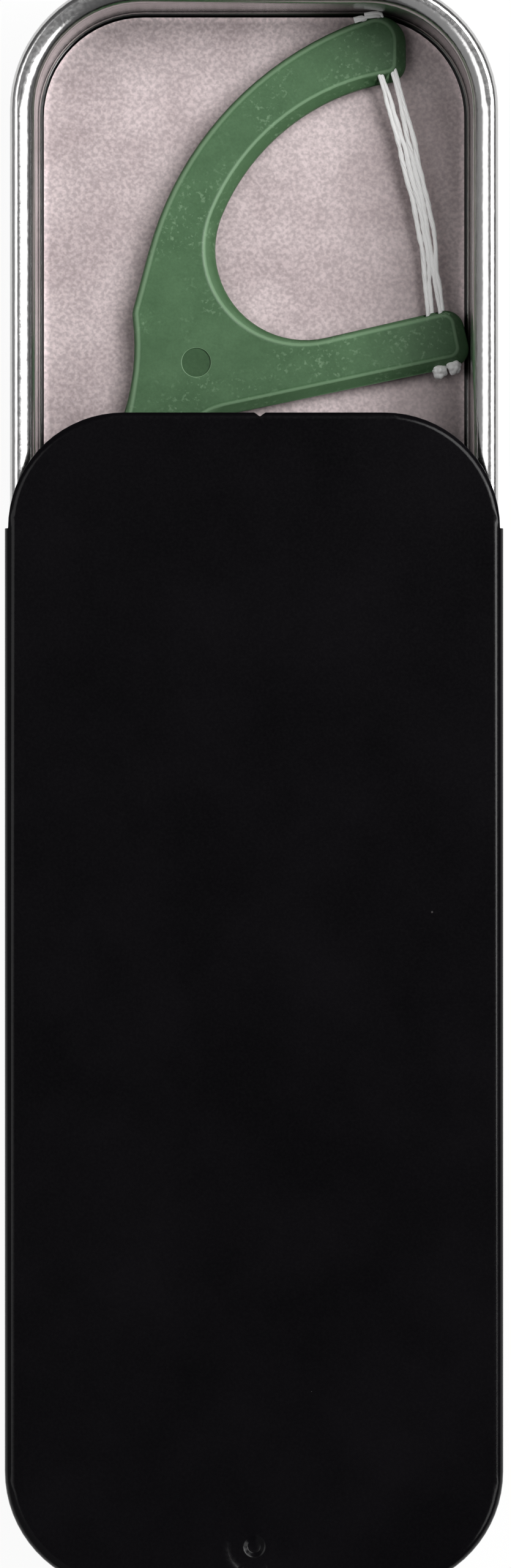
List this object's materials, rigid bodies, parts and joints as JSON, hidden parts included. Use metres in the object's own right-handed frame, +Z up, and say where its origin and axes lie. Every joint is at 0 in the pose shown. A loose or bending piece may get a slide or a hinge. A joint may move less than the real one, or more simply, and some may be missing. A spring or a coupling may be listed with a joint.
{
  "type": "floss pick tin",
  "caption": "Pocket tin with a hemmed rim and a black slide lid, holding a moulded floss pick with a curved bow, toothpick end and paired floss strands.",
  "frame": {"origin": "centre of the tin's underside", "axes": "+Z up, +Y towards the open end of the tin, +X to the right seen from above with the open end away"},
  "size_m": [0.034, 0.1098, 0.012],
  "materials": {
    "tinplate": "bare satin tinplate",
    "black_coating": "satin black coating",
    "green_plastic": "frosted moulded plastic",
    "floss": "waxed white fibre"
  },
  "bodies": {
    "base": {"tin_base": "tinplate"},
    "lid": {"slide_lid": "black_coating"},
    "pick": {"pick_handle": "green_plastic", "floss_strand_inner": "floss", "floss_strand_outer": "floss"}
  },
  "joints": [
    {"name": "lid_slide", "type": "slide", "parent": "base", "child": "lid", "axis": [0, -1, 0], "range_m": [-0.03, 0.03]},
    {"name": "pick_lift", "type": "slide", "parent": "base", "child": "pick", "axis": [0, 0, 1], "range_m": [0, 0.0085]}
  ]
}
